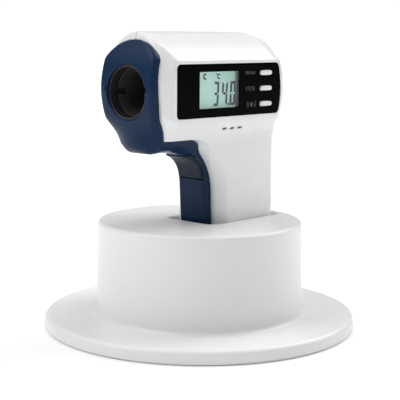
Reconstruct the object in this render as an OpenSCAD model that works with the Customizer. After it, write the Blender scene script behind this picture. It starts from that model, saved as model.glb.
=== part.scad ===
// Hand-held forehead thermometer standing in its desk cradle.
// Millimetres, +Z up. The origin is the centre of the cradle's underside, the nose points
// to -Y, the display side faces +X, and the thermometer's two halves meet at X = 0.

/* [Cradle] */
// Diameter of the flange
base_d = 146; // [144:1:150]
// Height of the flange's top face
flange_h = 6.4; // [6:0.1:7]
// Diameter of the drum at its top
drum_d = 96; // [95:1:98]
// Height of the drum's top face
drum_h = 50; // [48:0.5:50.5]
// Wall thickness of the cradle shell
cradle_wall = 2.4; // [2:0.1:2.6]
// Gap on each side of the grip in the cradle's well
well_gap = 0.6; // [0.5:0.1:0.9]

/* [Thermometer] */
// Height of the top of the head
head_top = 137.6; // [137:0.1:138]
// Width of the head across its side faces
head_w = 43; // [42.6:0.1:43.4]
// Width of the grip
grip_w = 30; // [29.6:0.1:30.4]
// Wall thickness of the casings
wall = 2; // [1.8:0.1:2]
// Height of the sensor's axis
sensor_z = 111.2; // [110.8:0.1:111.6]
// Diameter of the measuring aperture
aperture_d = 24; // [24:0.1:24.4]

/* [Controls] */
// Travel of the measuring trigger
trigger_travel = 1.2; // [0.8:0.1:1.2]
// Travel of the side buttons
button_travel = 0.5; // [0.3:0.1:0.5]
// Length of a side button
button_len = 8.2; // [8:0.1:9]
// Height of a side button
button_h = 2.2; // [2:0.1:2.6]
// Pitch of the side buttons
button_pitch = 7.15; // [6.9:0.05:7.2]

/* [Hidden] */
$fn = 64;

white = [0.93, 0.94, 0.95];
navy = [0.12, 0.18, 0.33];
black = [0.04, 0.04, 0.05];
steel = [0.75, 0.76, 0.78];
board_green = [0.1, 0.35, 0.2];

fit_gap = 0.1;          // between pieces that touch
run_gap = 0.3;          // between pieces that move
far = 200;              // past everything

// Head and grip outline, seen from the display side (Y, Z)
front_y = -44.5;        // front rim of the white halves
front_low_y = -42.2;    // the rim runs back to here at its lower end
front_bend_z = 112;     // and starts to do so at this height
front_top_y = -41.3;    // the rim leans back to here at its top
front_lean_z = 117;     // and starts to do so at this height
head_back_y = 41;
head_back_r = 17;
neck_z = 103;           // the back runs in to the grip from here
grip_top_z = 93;
grip_back_y = 37.5;
grip_foot_z = 8.4;
grip_front_y = -3;      // white grip's front edge where the arch starts
grip_rake = 0.052;      // the front edge moves back by this much for each mm down
arch_r = 26;            // arch of the white halves under the nose
arch_c = [grip_front_y - arch_r, 64];

// Navy front casing outline (Y, Z)
face_bulge_y = -47.7;
face_bulge_z = 114;
face_upper_r = 42;
face_lower_r = 62;
face_top_z = 134.6;
face_arch_r = 19.2;         // arch of the face, seen from the front
chin_c = [-31.9, 95.4];
chin_r = 12.6;
throat_c = [-18.9, 69.3];   // centre of the hollow that the finger lies in
throat_r = 12.5;
strip_proud = 2.3;          // the navy strip stands this far in front of the white grip
strip_w = 17.2;             // width of the navy strip
navy_wall = 1.8;

// Section of the head (X, Z)
side_top_z = 125;
side_low_z = 97.5;
skirt_z = 89.5;
crown_r = 13.3;          // ridge of the crown
crown_shoulder = [14.5, 131.6];
front_half_w = 17.5;    // half width of the front rim between its chamfers
chamfer_l = 4.7;
arch_z = head_top - front_half_w;   // centre of the rim's arch

// Display side: rectangles as [low Y, low Z], [high Y, high Z]
panel_face_x = 21.3;
panel_t = 1.3;
panel_a = [-37.7, 100];
panel_b = [32.4, 123.5];
panel_r = 2.2;
panel_end_r = 38;       // the rear end of the panel is an arc of this radius
ledge = 1.6;
view_a = [-23.4, 103.9];
view_b = [2.8, 120.1];
window_t = 1.1;
lcd_a = [-25.4, 102.8];
lcd_b = [4.4, 121];
lcd_x = [16.3, 18.4];
button_y = 21.4;
button_mid_z = 111.85;
button_face_x = 22;
board_x = [11.6, 13.2];
board_a = [-29, 98.5];
board_b = [27, 126];

// Measuring trigger
trigger_w = 14.8;
trigger_r = [11.9, 13.4];
trigger_angle = [5, 74];
trigger_stem_z = 75;
trigger_stem_d = 4;
trigger_collar_y = [-1.8, -0.9];

// Battery compartment
cell_d = 10.4;
cell_len = 44.5;
cell_x = 5.6;
cell_y = 28.6;
cell_z = 49;
door_w = 22.6;
door_z = [51.2, 92.6];

// Screws that hold the two halves together: [y, z, x of the casing's surface]
screw_sites = [
    [9, 17, 15], [29, 17, 15], [13, 66, 15], [32.5, 124.6, 19.7], [-33.5, 126.2, 18.6]
];
boss_d = 6;
screw_d = 2.2;
screw_head_d = 4.2;
screw_head_t = 1.4;
screw_sink = 2.2;

// Cradle details
rim_lift = 0.4;         // the shell's rim clears the table by this much
plate_z = [0.9, 2.9];
plate_r = 69.5;
foot_r = 58;
foot_d = 14;
cradle_screw_r = 42.5;
cradle_screw_d = 3;
cradle_boss_d = 7;
well_y = [-8, 42.5];
well_r = 5;
well_floor_z = 8.1;

// Points on a circle about c from angle a0 to a1
function arc(c, r, a0, a1, n = 8) =
    [for (i = [0 : n]) let (a = a0 + (a1 - a0) * i / n) [c[0] + r * cos(a), c[1] + r * sin(a)]];

// A half outline that starts and ends on the axis, with its mirror image
function mirrored(half) =
    concat(half, [for (i = [len(half) - 2 : -1 : 1]) [-half[i][0], half[i][1]]]);

// Front edge of the white grip at height z
function grip_front(z) = grip_front_y + grip_rake * (arch_c[1] - z);

// Outline of the white halves, set in by e
function body_outline(e) = concat(
    [[front_top_y + e, head_top - e]],
    arc([head_back_y - head_back_r, head_top - head_back_r], head_back_r - e, 90, 0),
    [[head_back_y - e, neck_z], [grip_back_y - e, grip_top_z]],
    arc([grip_back_y - 4, grip_foot_z + 4], 4 - e, 0, -90, 4),
    [[grip_front(grip_foot_z) + e, grip_foot_z + e]],
    arc(arch_c, arch_r + e, 0, 90),
    [[front_low_y + e, arch_c[1] + arch_r + e], [front_y + e, front_bend_z]],
    [[front_y + e, front_lean_z]]
);

// Outline of the navy front, set in by e and closed inside the body
function nose_outline(e) = concat(
    [[0, face_top_z - e]],
    arc([face_bulge_y + face_upper_r, face_bulge_z], face_upper_r - e, 151, 176, 6),
    arc([face_bulge_y + face_lower_r, face_bulge_z], face_lower_r - e, 180, 196, 5),
    arc(chin_c, chin_r - e, 186, 262, 6),
    arc(throat_c, throat_r + e, 90, 0),
    [[grip_front(grip_foot_z) - strip_proud + e, grip_foot_z + e], [0, grip_foot_z + e]]
);

// Half of the head and grip section, set in by e
function section_half(e) = concat(
    [[0, grip_foot_z - 1], [grip_w / 2 - e, grip_foot_z - 1], [grip_w / 2 - e, skirt_z]],
    [[head_w / 2 - e, side_low_z], [head_w / 2 - e, side_top_z - 0.44 * e]],
    [crown_shoulder - [0.58 * e, 0.81 * e]],
    arc([0, head_top - crown_r], crown_r - e, 61, 90)
);

// Half of the navy front's section, set in by e: a narrow strip that widens to the face
function nose_half(e) = concat(
    [[0, grip_foot_z - 1], [strip_w / 2 - e, grip_foot_z - 1], [strip_w / 2 - e, 81.5]],
    [[11.2 - e, 88], [13.8 - e, 92.5], [15.2 - e, 98], [16.3 - e, 105], [16.7 - e, 112]],
    [[16.6 - e, 119]],
    arc([0, face_top_z - face_arch_r], face_arch_r - e, 33, 90)
);

// Extrudes a (Y, Z) outline from x0 to x1
module along_x(x0, x1) {
    translate([x0, 0, 0]) rotate([90, 0, 90]) linear_extrude(x1 - x0) children();
}

// Extrudes an (X, Z) outline from y0 to y1
module along_y(y0, y1) {
    translate([0, y1, 0]) rotate([90, 0, 0]) linear_extrude(y1 - y0) children();
}

// Turns a (radius, Y) outline about a line at height z, such as the sensor's axis
module turned(z = sensor_z) {
    translate([0, 0, z]) rotate([-90, 0, 0]) rotate_extrude() children();
}

// Rectangle between two corners with rounded corners
module round_rect(a, b, r) {
    translate([a[0] + r, a[1]]) square([b[0] - a[0] - 2 * r, b[1] - a[1]]);
    translate([a[0], a[1] + r]) square([b[0] - a[0], b[1] - a[1] - 2 * r]);
    for (x = [a[0] + r, b[0] - r], y = [a[1] + r, b[1] - r]) translate([x, y]) circle(r);
}

// Box between two corners
module block(a, b) {
    translate(a) cube(b - a);
}

// Board or plate: a (Y, Z) rectangle between two values of X
module plate_x(x, a, b) {
    block([x[0], a[0], a[1]], [x[1], b[0], b[1]]);
}

module rod_x(x0, x1, y, z, d) {
    translate([x0, y, z]) rotate([0, 90, 0]) cylinder(d = d, h = x1 - x0);
}

module rod_y(y0, y1, x, z, d) {
    translate([x, y1, z]) rotate([90, 0, 0]) cylinder(d = d, h = y1 - y0);
}

module rod_z(z0, z1, x, y, d) {
    translate([x, y, z0]) cylinder(d = d, h = z1 - z0);
}

// Children at the four points on a circle of radius r, starting at angle a
module four_round(r, a) {
    for (i = [0 : 3]) rotate([0, 0, a + 90 * i]) translate([r, 0, 0]) children();
}

// Sub-parts of the cradle

function cradle_outline() = concat(
    [[0, rim_lift]],
    arc([base_d / 2 - 0.8, rim_lift + 0.8], 0.8, -90, 0, 3),
    arc([base_d / 2 - 2.8, flange_h - 2.2], 2.2, 0, 90, 6),
    arc([drum_d / 2 + 3.3, flange_h + 2.5], 2.5, 270, 180, 6),
    arc([drum_d / 2 - 1.5, drum_h - 1.5], 1.5, 0, 90, 6),
    [[0, drum_h]]
);

module cradle_boss() {
    rod_z(plate_z[1], drum_h - cradle_wall / 2, 0, 0, cradle_boss_d);
}

module cradle_shell() {
    drum_in = drum_d / 2 - cradle_wall;
    color(white) difference() {
        union() {
            difference() {
                rotate_extrude() polygon(cradle_outline());
                rotate_extrude() polygon([
                    [0, -1], [base_d / 2 - 3.2, -1], [base_d / 2 - 3.2, flange_h - cradle_wall],
                    [drum_in + 0.8, flange_h - cradle_wall], [drum_in, drum_h - cradle_wall],
                    [0, drum_h - cradle_wall]
                ]);
            }
            // well that the grip stands in
            translate([0, 0, plate_z[1] + fit_gap]) linear_extrude(drum_h - 1 - plate_z[1])
                well_shape(2);
            four_round(cradle_screw_r, 45) cradle_boss();
        }
        translate([0, 0, well_floor_z]) linear_extrude(far) well_shape(0);
        four_round(cradle_screw_r, 45) rod_z(0, 16, 0, 0, cradle_screw_d + fit_gap);
    }
}

// Outline of the well, set out by e
module well_shape(e) {
    half = grip_w / 2 + well_gap + e;
    round_rect([-half, well_y[0] - e], [half, well_y[1] + e], well_r);
}

module cradle_base_plate() {
    color([0.85, 0.86, 0.87]) difference() {
        rod_z(plate_z[0], plate_z[1], 0, 0, 2 * plate_r);
        four_round(foot_r, 0) rod_z(0, plate_z[0] + 0.4, 0, 0, foot_d + 2 * fit_gap);
        four_round(cradle_screw_r, 45) rod_z(0, far, 0, 0, cradle_screw_d + 0.4);
        four_round(cradle_screw_r, 45) rod_z(0, plate_z[0] + 1.2, 0, 0, 6.4);
    }
}

module cradle_feet() {
    color([0.25, 0.25, 0.26]) four_round(foot_r, 0) union() {
        rod_z(0.4, plate_z[0] + 0.4, 0, 0, foot_d);
        cylinder(d1 = foot_d - 0.8, d2 = foot_d, h = 0.4);
    }
}

module cradle_screws() {
    color(steel) four_round(cradle_screw_r, 45) difference() {
        union() {
            rod_z(plate_z[0] + 0.1, plate_z[0] + 1.2, 0, 0, 5.6);
            rod_z(plate_z[0] + 1.1, 14, 0, 0, cradle_screw_d);
        }
        cross_slot(plate_z[0]);
    }
}

// Cross recess in a screw head whose face is at z, opening downwards
module cross_slot(z) {
    block([-1.3, -0.3, z - 1], [1.3, 0.3, z + 0.7]);
    block([-0.3, -1.3, z - 1], [0.3, 1.3, z + 0.7]);
}

// Sub-parts of the thermometer's casing

// Plan of the head, set in by e
module head_plan(e) {
    side = head_w / 2 - e;
    rim = front_half_w - e;
    polygon([
        [-rim, front_y], [rim, front_y], [side, front_y + chamfer_l],
        [side, 20], [-side, 20], [-side, front_y + chamfer_l]
    ]);
    round_rect([-side, 0], [side, head_back_y - e], 10 - e);
}

// Top of the head, set in by e: a cone carries the rim's bevel over the arch
module head_arch(e) {
    side = head_w / 2 - e;
    rim = front_half_w - e;
    wide = rim + 4 * (head_w / 2 - front_half_w);
    intersection() {
        translate([0, 0, arch_z]) linear_extrude(far)
            round_rect([-side, front_y - 20], [side, head_back_y - e], 10 - e);
        turned(arch_z) polygon([
            [0, front_y], [rim, front_y], [wide, front_y + 4 * chamfer_l],
            [wide, head_back_y], [0, head_back_y]
        ]);
    }
}

// Plan of the grip, set in by e and open to the front
module grip_plan(e) {
    half = grip_w / 2 - e;
    translate([-half, front_y]) square([2 * half, -front_y + 20]);
    round_rect([-half, 0], [half, grip_back_y - e], 4.5 - e);
}

// Solid form of the two white halves, set in by e
module body_form(e) {
    intersection() {
        along_x(-head_w, head_w) polygon(body_outline(e));
        along_y(-far, far) polygon(mirrored(section_half(e)));
        union() {
            translate([0, 0, skirt_z - 4]) linear_extrude(arch_z - skirt_z + 4) head_plan(e);
            head_arch(e);
            linear_extrude(skirt_z) grip_plan(e);
        }
    }
}

// Solid form of the navy front, set in by e
module nose_form(e) {
    intersection() {
        along_x(-head_w, head_w) polygon(nose_outline(e));
        along_y(-far, far) polygon(mirrored(nose_half(e)));
    }
}

// Outline of the display panel, set in by e, with an arched rear end
module panel_shape(e) {
    middle = [panel_b[0] - panel_end_r, (panel_a[1] + panel_b[1]) / 2];
    intersection() {
        round_rect(panel_a + [e, e], panel_b - [e, e], panel_r);
        union() {
            translate(middle) circle(panel_end_r - e);
            translate(panel_a - [5, 5]) square([middle[0] - panel_a[0] + 5, far]);
        }
    }
}

// Outline of a side button centred on z, set out by e
module button_shape(z, e) {
    half = [button_len / 2 + e, button_h / 2 + e];
    round_rect([button_y, z] - half, [button_y, z] + half, button_h / 2 + e - 0.01);
}

function button_z(i) = button_mid_z + button_pitch * i;

// The white casing before it is parted into two halves
module casing() {
    difference() {
        union() {
            difference() {
                body_form(0);
                body_form(wall);
            }
            intersection() {
                body_form(0.5);
                union() {
                    for (s = screw_sites) rod_x(-s[2] - 3, s[2] + 3, s[0], s[1], boss_d);
                    along_x(17.6, head_w / 2) panel_shape(-1.5);
                }
            }
        }
        along_x(panel_face_x - panel_t - fit_gap, head_w) panel_shape(-fit_gap);
        along_x(0, head_w) panel_shape(ledge);
        nose_mouth(1);
        casing_holes();
    }
}

// Opening in the front rim, or the navy lip that fills it, set in by e
module nose_mouth(e) {
    along_y(front_y - 1, front_low_y + wall + 1.2) intersection() {
        polygon(mirrored(nose_half(e)));
        translate([-far / 2, arch_c[1] + arch_r + wall + e]) square(far);
    }
}

module casing_holes() {
    for (s = screw_sites) {
        rod_x(-s[2], 0, s[0], s[1], screw_d + 0.4);
        rod_x(-1, s[2] - 3.5, s[0], s[1], screw_d + fit_gap);
        rod_x(-head_w, -s[2] + screw_sink, s[0], s[1], screw_head_d + 0.6);
    }
    // slots for the buzzer's sound
    for (i = [-1 : 1]) along_x(10, head_w)
        round_rect([1.2 + 5.2 * i - 1.5, 94], [1.2 + 5.2 * i + 1.5, 94.9], 0.44);
    rod_y(-30, 0, 0, trigger_stem_z, trigger_stem_d + 2 * run_gap);
    along_y(grip_back_y - wall - 1, grip_back_y + 5) door_shape(run_gap);
}

// Outline of the battery door, set out by e
module door_shape(e) {
    round_rect([-door_w / 2 - e, door_z[0] - e], [door_w / 2 + e, door_z[1] + e], 2);
}

module left_shell() {
    color(white) intersection() {
        casing();
        block([fit_gap / 2, -far, 0], [far, far, far]);
    }
}

module right_shell() {
    color(white) intersection() {
        casing();
        block([-far, -far, 0], [-fit_gap / 2, far, far]);
    }
}

module front_shell() {
    color(navy) difference() {
        union() {
            difference() {
                nose_form(0);
                along_x(-far, far) polygon(body_outline(-fit_gap));
                intersection() {
                    nose_form(navy_wall);
                    block([-far, -far, 0], [far, far, 92]);
                }
            }
            // lip that locates the nose in the white rim
            intersection() {
                nose_form(0);
                difference() {
                    nose_mouth(1.3);
                    nose_mouth(3.3);
                }
            }
        }
        rod_y(-far, 0, 0, sensor_z, aperture_d);
        // window for the trigger
        along_x(-trigger_w / 2 - run_gap, trigger_w / 2 + run_gap)
            throat_band(throat_r - 2, throat_r + 3, trigger_angle[0] - 2.5, trigger_angle[1] + 3);
    }
}

// Part of a ring about the throat's centre, between two radii and two angles
module throat_band(r0, r1, a0, a1) {
    polygon(concat(arc(throat_c, r0, a0, a1), arc(throat_c, r1, a1, a0)));
}

module shell_screws() {
    color(steel) for (s = screw_sites) {
        seat = -s[2] + screw_sink;
        rod_x(seat, s[2] - 4.5, s[0], s[1], screw_d);
        difference() {
            rod_x(seat - screw_head_t, seat, s[0], s[1], screw_head_d);
            translate([seat - screw_head_t, s[0], s[1]]) rotate([0, 90, 0]) cross_slot(0);
        }
    }
}

// Sub-parts of the display and its controls

module display_panel() {
    color(black) difference() {
        along_x(panel_face_x - panel_t, panel_face_x) panel_shape(0);
        along_x(0, head_w) round_rect(view_a, view_b, 0.8);
        for (i = [-1 : 1]) along_x(0, head_w) button_shape(button_z(i), 0.2);
    }
}

module display_window() {
    gap = [fit_gap, fit_gap];
    color([0.8, 0.9, 0.95, 0.4]) along_x(panel_face_x - 0.1 - window_t, panel_face_x - 0.1)
        round_rect(view_a + gap, view_b - gap, 0.7);
}

module lcd_glass() {
    color([0.7, 0.84, 0.8]) plate_x(lcd_x, lcd_a, lcd_b);
}

module lcd_frame() {
    edge = [0.8, 0.8];
    color([0.6, 0.62, 0.63]) difference() {
        plate_x([board_x[1] + fit_gap, 19.8], lcd_a - edge, lcd_b + edge);
        plate_x([0, lcd_x[1] + 0.05], lcd_a - 0.1 * edge, lcd_b + 0.1 * edge);
        plate_x([0, far], view_a - 0.2 * edge, view_b + 0.2 * edge);
    }
}

module lcd_backlight() {
    color([0.95, 0.96, 0.9])
        plate_x([board_x[1] + 0.8, lcd_x[0] - fit_gap], [lcd_a[0], lcd_a[1] + 2.4], lcd_b);
}

module lcd_connector() {
    color([0.9, 0.5, 0.6])
        plate_x([board_x[1] + 0.05, lcd_x[0]], lcd_a, [lcd_b[0], lcd_a[1] + 2]);
}

module main_board() {
    color(board_green) difference() {
        plate_x(board_x, board_a, board_b);
        // notch beside the rear screw boss
        rod_x(0, far, 29, 124, 8);
    }
}

module controller_chips() {
    color(black) {
        plate_x([board_x[0] - 1.6, board_x[0]], [6, 104], [16, 114]);
        plate_x([board_x[0] - 1.2, board_x[0]], [8, 118], [13, 122]);
    }
    color(steel) plate_x([board_x[0] - 2.5, board_x[0]], [19, 106], [22.5, 116]);
}

module button_switches() {
    color([0.3, 0.3, 0.32]) for (i = [-1 : 1]) {
        plate_x([board_x[1], 15.6], [button_y - 2.5, button_z(i) - 2.5],
            [button_y + 2.5, button_z(i) + 2.5]);
        rod_x(15.6, 16.7, button_y, button_z(i), 2);
    }
}

module side_button(i) {
    color(white) {
        along_x(17.4, button_face_x) button_shape(button_z(i), 0);
        // flange that keeps the button behind the panel
        along_x(18.5, panel_face_x - panel_t - run_gap) button_shape(button_z(i), 0.8);
    }
}

module mode_button() {
    side_button(1);
}

module memory_button() {
    side_button(0);
}

module sound_button() {
    side_button(-1);
}

// Sub-parts of the measuring trigger

module measuring_trigger() {
    color(navy * 1.2) {
        along_x(-trigger_w / 2, trigger_w / 2)
            throat_band(trigger_r[0], trigger_r[1], trigger_angle[0], trigger_angle[1]);
        rod_y(-7.4, trigger_collar_y[1], 0, trigger_stem_z, trigger_stem_d);
        rod_y(trigger_collar_y[0], trigger_collar_y[1], 0, trigger_stem_z, trigger_stem_d + 2);
    }
}

module trigger_board() {
    color(board_green) block([-8, 4.3, 62], [8, 5.5, 88]);
}

module trigger_switch() {
    tip_y = trigger_collar_y[1] + trigger_travel + fit_gap;
    color([0.3, 0.3, 0.32]) {
        block([-3, 1.1, trigger_stem_z - 3], [3, 4.3, trigger_stem_z + 3]);
        rod_y(tip_y, 1.1, 0, trigger_stem_z, 3.2);
    }
}

// Sub-parts of the infrared sensor

module sensor_funnel() {
    mouth_r = aperture_d / 2 - fit_gap;
    color(black) turned() polygon([
        [mouth_r, -46.9], [mouth_r, -41.8], [13.2, -41.8], [13.2, -40.4], [12.4, -40.4],
        [12.4, -37], [8.4, -25], [8.4, -21], [5.2, -21], [5.2, -25], [9.5, -38],
        [10.9, -38], [10.9, -42.6], [11.1, -46.9]
    ]);
}

module probe_ring() {
    color([0.22, 0.22, 0.23]) difference() {
        turned() polygon([[10.85, -42.4], [10.85, -38.05], [9.6, -38.05], [10.5, -42.4]]);
        block([-12, -43, sensor_z - 1.35], [-9, -39.5, sensor_z + 1.35]);
    }
}

module thermopile_sensor() {
    color(steel) {
        turned() difference() {
            translate([0, -20.6]) square([4.15, 6]);
            translate([0, -21]) square([1.8, 0.8]);
        }
        for (a = [0 : 90 : 270]) translate([0, 0, sensor_z]) rotate([0, a, 0])
            rod_y(-14.7, -9.8, 2, 0, 0.5);
    }
}

module sensor_sleeve() {
    color([0.8, 0.75, 0.5]) turned() translate([4.3, -20.9]) square([4.1, 11]);
}

module sensor_board() {
    color(board_green) turned() translate([0, -9.8]) square([8.4, 1.2]);
}

module buzzer() {
    color(black) difference() {
        rod_x(8.8, 12.4, 1.2, 90.4, 13);
        rod_x(11.6, far, 1.2, 90.4, 2);
    }
}

// Sub-parts of the battery compartment

// One cell standing at x, with its button end up or down
module cell(x, up) {
    tip = 0.8;
    z0 = cell_z + (up ? 0 : tip);
    color([0.75, 0.55, 0.25]) {
        rod_z(z0, z0 + cell_len - tip, x, cell_y, cell_d);
        rod_z(up ? z0 + cell_len - tip : cell_z, up ? cell_z + cell_len : z0, x, cell_y, 3.6);
    }
}

module battery_1() {
    cell(-cell_x, true);
}

module battery_2() {
    cell(cell_x, false);
}

module battery_tray() {
    top_z = cell_z + cell_len + 0.6;
    color([0.2, 0.2, 0.22]) {
        block([-12.4, 22, cell_z - 5], [12.4, 34.5, cell_z - 3.4]);
        block([-12.4, 22, cell_z - 5], [12.4, 23, top_z + 1.2]);
        block([-12.4, 22, top_z], [12.4, 34.5, top_z + 1.2]);
    }
}

// Conical springs, one for each cell, on their tabs
module battery_springs() {
    color(steel) for (x = [-cell_x, cell_x]) {
        block([x - 4.5, cell_y - 4.5, cell_z - 3.4], [x + 4.5, cell_y + 4.5, cell_z - 3]);
        translate([x, cell_y, cell_z - 2.7]) for (i = [0 : 4])
            translate([0, 0, 0.55 * i]) rotate_extrude()
                translate([3.9 - 0.5 * i, 0]) circle(0.4);
    }
}

module battery_plate() {
    color(steel) block([-11, cell_y - 4.5, cell_z + cell_len + 0.1],
        [11, cell_y + 4.5, cell_z + cell_len + 0.6]);
}

module battery_door() {
    color(white) difference() {
        along_y(grip_back_y - wall, grip_back_y) door_shape(0);
        // fingernail notch
        rod_x(-5, 5, grip_back_y + 0.6, door_z[1] - 4, 2.6);
    }
}

cradle_shell();
cradle_base_plate();
cradle_feet();
cradle_screws();
left_shell();
right_shell();
front_shell();
shell_screws();
display_panel();
display_window();
lcd_glass();
lcd_frame();
lcd_backlight();
lcd_connector();
main_board();
controller_chips();
button_switches();
mode_button();
memory_button();
sound_button();
measuring_trigger();
trigger_board();
trigger_switch();
sensor_funnel();
probe_ring();
thermopile_sensor();
sensor_sleeve();
sensor_board();
buzzer();
battery_1();
battery_2();
battery_tray();
battery_springs();
battery_plate();
battery_door();
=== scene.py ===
"""Looks of the forehead thermometer and its desk cradle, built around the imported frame."""
import math

import bmesh
import bpy
import numpy as np
from mathutils import Matrix, Vector
from mathutils.geometry import tessellate_polygon


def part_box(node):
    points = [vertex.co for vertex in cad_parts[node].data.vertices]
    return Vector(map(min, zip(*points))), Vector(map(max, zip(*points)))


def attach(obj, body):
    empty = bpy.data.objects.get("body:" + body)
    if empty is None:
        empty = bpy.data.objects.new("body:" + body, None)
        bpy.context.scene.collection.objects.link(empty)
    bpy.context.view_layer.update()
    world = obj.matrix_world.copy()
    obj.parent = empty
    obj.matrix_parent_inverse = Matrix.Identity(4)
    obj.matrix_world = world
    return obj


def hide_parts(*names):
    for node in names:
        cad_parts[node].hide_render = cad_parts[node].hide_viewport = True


MM = 0.001
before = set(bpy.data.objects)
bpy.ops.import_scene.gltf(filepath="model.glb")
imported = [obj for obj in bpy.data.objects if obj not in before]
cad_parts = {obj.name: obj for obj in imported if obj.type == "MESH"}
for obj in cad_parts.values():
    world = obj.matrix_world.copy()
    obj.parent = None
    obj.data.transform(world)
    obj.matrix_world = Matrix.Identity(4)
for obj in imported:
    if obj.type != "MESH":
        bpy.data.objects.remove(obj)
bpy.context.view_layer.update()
scene = bpy.context.scene

# Sizes in millimetres, in the row frame: nose towards -Y, display towards +X
SIDE_X = 21.5            # half width of the head
GRIP_X = 15.0            # half width of the white grip
WALL = 2.0
RIM_Y = -44.5            # front of the white rim
GRIP_FOOT_Z = 8.4
SENSOR_Z = 111.2
PANEL_X = 21.3           # face of the display panel
PANEL_BACK_X = 20.0
LCD_X = 18.4             # face of the display glass
BUTTON_Y = 21.4
BUTTON_Z = (119.0, 111.85, 104.7)
THROAT = (-18.9, 69.3)   # centre of the hollow for the finger, as (Y, Z)
STEM_Z = 75              # height of the trigger's stem
TRIGGER_HALF = 7.4       # half width of the trigger's pad
NOSE_BORE_R = 12.0
SOUND_Z = 94.2
SOUND_SLOTS = (-3.85, 1.35, 6.5)     # middles of the sound slots along Y
SCREWS = (               # casing screws as (Y, Z, reach to the side)
    (9, 17, 15), (29, 17, 15), (13, 66, 15), (32.5, 124.6, 19.7), (-33.5, 126.2, 18.6),
)
DRUM_Z = 50.0
WELL_MID_Y = 17.25

# ---------------------------------------------------------------- outlines and fields


def fillet_parts(corners):
    """Lines and arcs of a closed outline whose corners (u, v, radius) are rounded."""
    count = len(corners)
    ends = []
    for i, (u, v, r) in enumerate(corners):
        p = np.array((u, v), float)
        a = np.array(corners[i - 1][:2], float) - p
        b = np.array(corners[(i + 1) % count][:2], float) - p
        a /= np.linalg.norm(a)
        b /= np.linalg.norm(b)
        half = math.acos(max(-1.0, min(1.0, float(a @ b)))) / 2
        reach = r / math.tan(half)
        mid = (a + b) / np.linalg.norm(a + b)
        centre = p + mid * r / math.sin(half)
        turn = a[0] * b[1] - a[1] * b[0]
        ends.append((p + a * reach, p + b * reach, centre, r, -mid, math.pi / 2 - half, turn))
    return ends


def outline_points(corners, step=0.4):
    """The outline as points, a few for each rounded corner."""
    points = []
    for start, end, centre, r, mid, span, turn in fillet_parts(corners):
        a0 = math.atan2(start[1] - centre[1], start[0] - centre[0])
        a1 = math.atan2(end[1] - centre[1], end[0] - centre[0])
        delta = (a1 - a0 + math.pi) % (2 * math.pi) - math.pi
        n = max(2, math.ceil(abs(delta) * r / step), math.ceil(abs(delta) / math.radians(12)))
        for j in range(n + 1):
            a = a0 + delta * j / n
            points.append((centre[0] + r * math.cos(a), centre[1] + r * math.sin(a)))
    return points


def outline_field(corners):
    """Signed distance to a rounded outline, negative inside."""
    parts = fillet_parts(corners)
    area = sum(
        p[0] * q[1] - q[0] * p[1]
        for p, q in zip(corners, list(corners[1:]) + [corners[0]])
    )
    way = 1.0 if area > 0 else -1.0

    def field(u, v):
        u, v = np.broadcast_arrays(u, v)
        best = np.full(u.shape, 1e9)
        for i, (start, end, centre, r, mid, span, turn) in enumerate(parts):
            tail = parts[i - 1][1]
            along = start - tail
            length = np.linalg.norm(along)
            lead = np.array(corners[i][:2]) - np.array(corners[i - 1][:2])
            if length > 1e-3 and along @ lead < 0:
                raise ValueError(f"fillets overlap before corner {i}: {corners[i]}")
            if length > 1e-9:
                along = along / length
                du, dv = u - tail[0], v - tail[1]
                t = np.clip(du * along[0] + dv * along[1], 0, length)
                side = (du * along[1] - dv * along[0]) * way
                d = np.hypot(du - t * along[0], dv - t * along[1])
                d = np.where(side < 0, -d, d)
                best = np.where(np.abs(d) < np.abs(best), d, best)
            du, dv = u - centre[0], v - centre[1]
            rho = np.hypot(du, dv)
            inside = (du * mid[0] + dv * mid[1]) >= rho * math.cos(span + 1e-4)
            convex = (turn * way) < 0
            d = (rho - r) if convex else (r - rho)
            best = np.where(inside & (np.abs(d) < np.abs(best)), d, best)
        return best

    return field


def both(a, b, r=0.0):
    """Inside both fields, with the edge between them rounded to radius r."""
    sharp = np.maximum(a, b)
    if np.isscalar(r) and r <= 0:
        return sharp
    round_part = np.hypot(np.maximum(a + r, 0), np.maximum(b + r, 0)) - r
    return np.where((a > -r) & (b > -r), round_part, sharp)


def without(a, b, r=0.0):
    """Inside a and outside b, with the edge between them rounded to radius r."""
    return both(a, -b, r)


def ramp(v, a, b):
    """A smooth step from 0 at a to 1 at b."""
    t = np.clip((v - a) / (b - a), 0, 1)
    return t * t * (3 - 2 * t)


def grid_line(low, high, step, fine=()):
    """Values from low to high, closer together inside each (start, end, step) of fine."""
    values = [low]
    while values[-1] < high:
        v = values[-1]
        width = step
        for a, b, s in fine:
            if a - s <= v < b:
                width = min(width, s)
            elif v < a < v + width:
                width = min(width, a - v)
        values.append(v + width)
    return np.array(values)


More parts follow.
